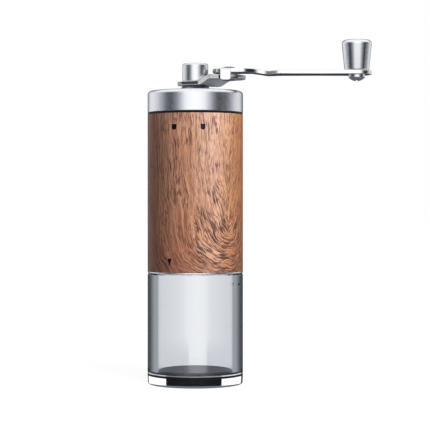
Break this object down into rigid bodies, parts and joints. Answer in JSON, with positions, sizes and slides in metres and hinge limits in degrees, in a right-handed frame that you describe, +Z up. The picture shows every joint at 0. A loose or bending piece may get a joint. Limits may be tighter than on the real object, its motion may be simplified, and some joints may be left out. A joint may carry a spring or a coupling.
{
  "type": "hand coffee grinder",
  "caption": "Slim hand-cranked burr coffee grinder: clear catch jar below, wood-sleeved steel body, brushed lid and folding crank with a turned knob",
  "frame": {"origin": "centre of the base's underside, on the mill's axis", "axes": "+Z up along the mill's axis, +X along the opened crank towards its knob, -Y the side with the crank's stop tab"},
  "size_m": [0.1223, 0.052, 0.1873],
  "materials": {
    "polished_steel": "mirror-polished stainless steel",
    "brushed_steel": "fine circumferential brushing",
    "liner_steel": "bright drawn tube",
    "hub_steel": "turned and satin-brushed",
    "plate_steel": "pressed plate, brushed along its length",
    "rivet_steel": "bright",
    "burr_steel": "hardened and ground",
    "spring_steel": "drawn wire and blued strip",
    "fastener_steel": "bright zinc",
    "bronze": "sintered bronze",
    "brass": "turned",
    "walnut_wood": "satin oil",
    "clear_acrylic": "clear, polished",
    "black_silicone": "smooth, slightly glossy",
    "black_nylon": "fine moulded grain",
    "anodised_aluminium": "satin anodised",
    "white_acetal": "smooth"
  },
  "bodies": {
    "jar": {"base_cap": "polished_steel", "base_seal": "black_silicone", "jar_tube": "clear_acrylic"},
    "neck_ring": {"jar_gasket": "black_silicone"},
    "housing": {"liner_tube": "liner_steel", "wood_sleeve": "walnut_wood", "jar_collar": "anodised_aluminium", "burr_carrier": "black_nylon", "ring_burr": "burr_steel", "burr_clamp_ring": "fastener_steel", "clamp_screws": "fastener_steel", "lower_bush": "bronze", "upper_bush": "bronze"},
    "shaft": {"main_shaft": "rivet_steel", "shaft_circlip": "spring_steel", "shaft_washer": "fastener_steel", "thrust_washer": "fastener_steel", "burr_spring": "spring_steel"},
    "burr": {"inner_burr": "burr_steel", "burr_core": "black_nylon", "click_plate": "fastener_steel"},
    "adjuster": {"adjuster_nut": "black_nylon", "adjuster_insert": "brass", "detent_ball": "spring_steel", "detent_spring": "spring_steel"},
    "lid": {"lid_shell": "brushed_steel", "lid_plug": "black_nylon", "lid_seal": "black_silicone", "lid_bush": "bronze"},
    "crank": {"hub_collar": "hub_steel", "collar_clip": "spring_steel", "hub_plate": "plate_steel", "hub_cap": "hub_steel"},
    "arm": {"crank_arm": "plate_steel", "pivot_rivet": "rivet_steel", "pivot_washer": "white_acetal", "knob_screw": "rivet_steel", "knob_snap_ring": "spring_steel", "knob_washer": "white_acetal"},
    "knob": {"grip_knob": "hub_steel"}
  },
  "joints": [
    {"name": "mill_lift", "type": "slide", "parent": "jar", "child": "neck_ring", "axis": [0, 0, 1], "range_m": [0, 0.0601]},
    {"name": "mill_turn", "type": "hinge", "parent": "neck_ring", "child": "housing", "pos_m": [0, 0, 0.065], "axis": [0, 0, 1], "range_deg": [0, 1800]},
    {"name": "shaft_turn", "type": "hinge", "parent": "housing", "child": "shaft", "pos_m": [0, 0, 0.1034], "axis": [0, 0, 1], "continuous": true},
    {"name": "burr_travel", "type": "slide", "parent": "shaft", "child": "burr", "axis": [0, 0, 1], "range_m": [-0.0012, 0.0004], "deforming": ["burr_spring"]},
    {"name": "adjuster_turn", "type": "hinge", "parent": "burr", "child": "adjuster", "pos_m": [0, 0, 0.0666], "axis": [0, 0, 1], "range_deg": [-540, 180]},
    {"name": "lid_lift", "type": "slide", "parent": "housing", "child": "lid", "axis": [0, 0, 1], "range_m": [0, 0.045]},
    {"name": "crank_turn", "type": "hinge", "parent": "lid", "child": "crank", "pos_m": [0, 0, 0.155], "axis": [0, 0, 1], "continuous": true},
    {"name": "arm_fold", "type": "hinge", "parent": "crank", "child": "arm", "pos_m": [0.0184, 0, 0.167], "axis": [0, 0, 1], "range_deg": [0, 130]},
    {"name": "knob_spin", "type": "hinge", "parent": "arm", "child": "knob", "pos_m": [0.0881, 0, 0.179], "axis": [0, 0, 1], "continuous": true}
  ],
  "couplings": [
    {"joint": "mill_lift", "follows": "mill_turn", "m_per_rad": 0.0019099},
    {"joint": "shaft_turn", "follows": "crank_turn", "ratio": 1},
    {"joint": "adjuster_turn", "follows": "burr_travel", "rad_per_m": 7854}
  ]
}
